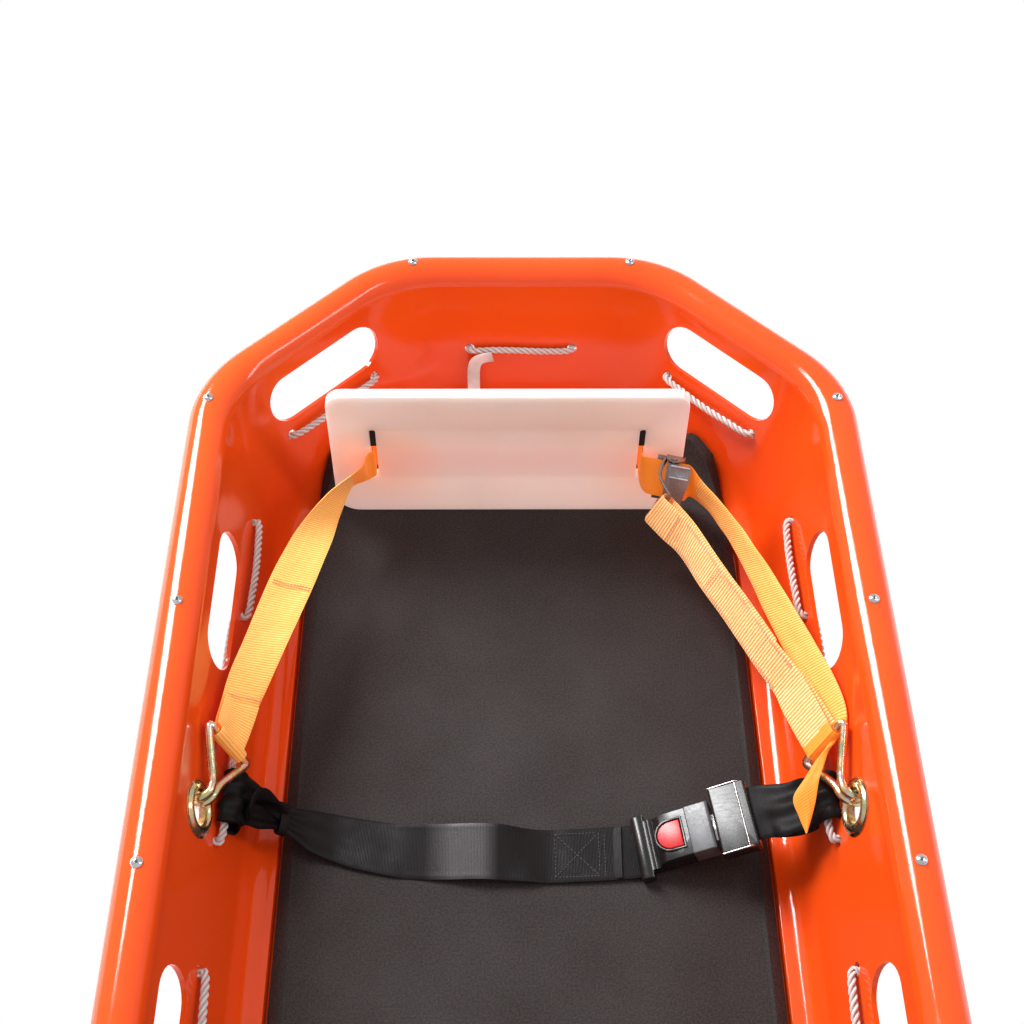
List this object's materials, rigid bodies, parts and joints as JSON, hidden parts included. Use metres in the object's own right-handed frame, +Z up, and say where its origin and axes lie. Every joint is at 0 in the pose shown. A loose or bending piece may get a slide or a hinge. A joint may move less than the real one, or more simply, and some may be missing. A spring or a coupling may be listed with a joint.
{
  "type": "basket stretcher",
  "caption": "Open moulded rescue basket with hand slots, laced rope, foam mat, buckled chest belts and a strapped footrest plate.",
  "frame": {"origin": "middle of the shell's underside", "axes": "+Y along the basket towards the foot end, +X to the right, +Z up"},
  "size_m": [0.64, 2.18, 0.1927],
  "materials": {
    "orange_shell": "glossy moulded polyethylene",
    "tube_metal": "mill finish",
    "rivet_metal": "bright dome",
    "gold_plated": "yellow passivated zinc",
    "bright_steel": "polished",
    "white_rope": "three-strand laid rope",
    "dark_foam": "closed-cell foam, matt",
    "milky_plate": "milky translucent sheet",
    "orange_webbing": "ribbed woven webbing",
    "black_plastic": "satin gloss",
    "red_button": "glossy",
    "black_webbing": "tight satin weave"
  },
  "bodies": {
    "shell_body": {"shell": "orange_shell", "rim_tube": "tube_metal", "lacing_rope": "white_rope", "mat": "dark_foam", "footrest_strap_left": "orange_webbing", "footrest_strap_sewn": "orange_webbing", "footrest_strap_free": "orange_webbing", "hoist_eyelet_1": "gold_plated", "hoist_eyelet_2": "gold_plated", "hoist_eyelet_3": "gold_plated", "hoist_eyelet_4": "gold_plated", "rim_rivet_01": "rivet_metal", "rim_rivet_02": "rivet_metal", "rim_rivet_03": "rivet_metal", "rim_rivet_04": "rivet_metal", "rim_rivet_05": "rivet_metal", "rim_rivet_06": "rivet_metal", "rim_rivet_07": "rivet_metal", "rim_rivet_08": "rivet_metal", "rim_rivet_09": "rivet_metal", "rim_rivet_10": "rivet_metal", "rim_rivet_11": "rivet_metal", "rim_rivet_12": "rivet_metal", "rim_rivet_13": "rivet_metal", "rim_rivet_14": "rivet_metal", "rim_rivet_15": "rivet_metal", "rim_rivet_16": "rivet_metal", "rim_rivet_17": "rivet_metal", "rim_rivet_18": "rivet_metal", "rim_rivet_19": "rivet_metal", "rim_rivet_20": "rivet_metal", "belt_1_buckle_housing": "black_plastic", "belt_1_webbing_left": "black_webbing", "belt_1_webbing_right": "black_webbing", "belt_2_buckle_housing": "black_plastic", "belt_2_webbing_left": "black_webbing", "belt_2_webbing_right": "black_webbing", "belt_3_buckle_housing": "black_plastic", "belt_3_webbing_left": "black_webbing", "belt_3_webbing_right": "black_webbing"},
    "footrest": {"footrest_plate": "milky_plate", "footrest_stay": "tube_metal", "footrest_strap_rear": "orange_webbing", "cam_buckle_frame": "bright_steel", "cam_buckle_pin": "bright_steel"},
    "cam_lever": {"cam_buckle_lever": "bright_steel"},
    "hook_left_body": {"hook_left": "gold_plated"},
    "hook_right_body": {"hook_right": "gold_plated"},
    "belt_1_tongue": {"belt_1_latch_tongue": "bright_steel", "belt_1_slide_bar": "black_plastic"},
    "belt_1_button": {"belt_1_release_button": "red_button"},
    "belt_2_tongue": {"belt_2_latch_tongue": "bright_steel", "belt_2_slide_bar": "black_plastic"},
    "belt_2_button": {"belt_2_release_button": "red_button"},
    "belt_3_tongue": {"belt_3_latch_tongue": "bright_steel", "belt_3_slide_bar": "black_plastic"},
    "belt_3_button": {"belt_3_release_button": "red_button"}
  },
  "joints": [
    {"name": "footrest_slide", "type": "slide", "parent": "shell_body", "child": "footrest", "axis": [0, -1, 0], "range_m": [0, 0.2], "deforming": ["footrest_strap_left", "footrest_strap_sewn", "footrest_strap_free"]},
    {"name": "cam_lever_hinge", "type": "hinge", "parent": "footrest", "child": "cam_lever", "pos_m": [0.14583, 0.85056, 0.1], "axis": [-0.121, -0.4851, -0.866], "range_deg": [0, 60], "stiffness_Nm_per_rad": 0.05},
    {"name": "hook_left_swing", "type": "hinge", "parent": "shell_body", "child": "hook_left_body", "pos_m": [-0.27214, 0.49239, 0.13083], "axis": [0.2494, -0.1323, -0.9593], "range_deg": [0, 12]},
    {"name": "hook_right_swing", "type": "hinge", "parent": "shell_body", "child": "hook_right_body", "pos_m": [0.27214, 0.49239, 0.13083], "axis": [0.2494, 0.1323, 0.9593], "range_deg": [0, 12]},
    {"name": "belt_1_tongue_slide", "type": "slide", "parent": "shell_body", "child": "belt_1_tongue", "axis": [0.9305, 0.1308, 0.342], "range_m": [0, 0.034], "deforming": ["belt_1_webbing_right"]},
    {"name": "belt_1_button_press", "type": "slide", "parent": "shell_body", "child": "belt_1_button", "axis": [0.3387, 0.0476, -0.9397], "range_m": [0, 0.003], "stiffness_N_per_m": 900},
    {"name": "belt_2_tongue_slide", "type": "slide", "parent": "shell_body", "child": "belt_2_tongue", "axis": [0.9305, 0.1308, 0.342], "range_m": [0, 0.034], "deforming": ["belt_2_webbing_right"]},
    {"name": "belt_2_button_press", "type": "slide", "parent": "shell_body", "child": "belt_2_button", "axis": [0.3387, 0.0476, -0.9397], "range_m": [0, 0.003], "stiffness_N_per_m": 900},
    {"name": "belt_3_tongue_slide", "type": "slide", "parent": "shell_body", "child": "belt_3_tongue", "axis": [0.9305, 0.1308, 0.342], "range_m": [0, 0.034], "deforming": ["belt_3_webbing_right"]},
    {"name": "belt_3_button_press", "type": "slide", "parent": "shell_body", "child": "belt_3_button", "axis": [0.3387, 0.0476, -0.9397], "range_m": [0, 0.003], "stiffness_N_per_m": 900}
  ]
}
